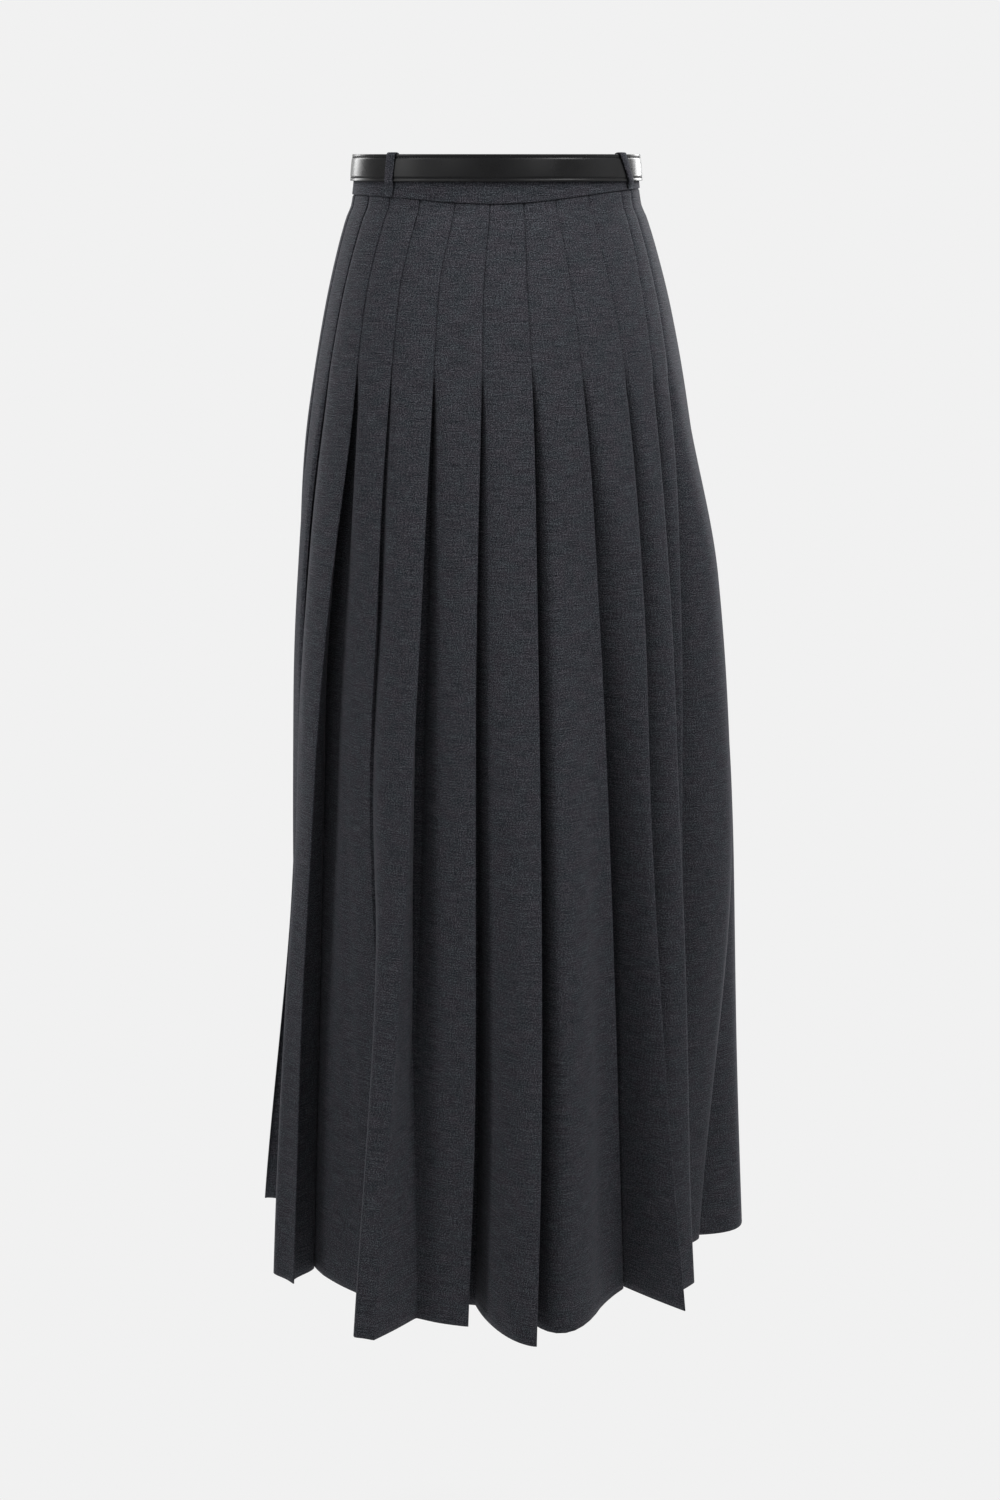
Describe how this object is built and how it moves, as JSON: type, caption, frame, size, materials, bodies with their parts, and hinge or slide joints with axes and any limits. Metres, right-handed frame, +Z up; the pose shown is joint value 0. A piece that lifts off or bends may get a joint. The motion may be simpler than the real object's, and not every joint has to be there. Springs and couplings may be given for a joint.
{
  "type": "pleated maxi skirt",
  "caption": "Long flared skirt of knife pleats stitched flat over the hips, with a contoured waistband, belt loops and a slim leather belt with a plain buckle.",
  "frame": {"origin": "middle of the waist opening, level with the waistband's upper edge, where the wearer's waist holds the skirt", "axes": "+Z up, out of the waist; -Y is the garment's back, the side whose pleats lie smoothest; +X is the wearer's right"},
  "size_m": [0.4528, 0.4713, 0.9924],
  "materials": {
    "wool": "charcoal melange wool, soft matt twill",
    "leather": "smooth black, slight gloss",
    "buckle": "polished dark nickel"
  },
  "bodies": {
    "root": {"skirt_back_left": "wool", "skirt_back_right": "wool", "skirt_front_left": "wool", "skirt_front_right": "wool", "waistband": "wool", "belt_loop_back_left": "wool", "belt_loop_back_right": "wool", "belt_loop_front_left": "wool", "belt_loop_front_right": "wool", "belt_strap": "leather", "belt_keeper": "leather", "buckle_frame": "buckle", "buckle_prong": "buckle"}
  },
  "joints": []
}
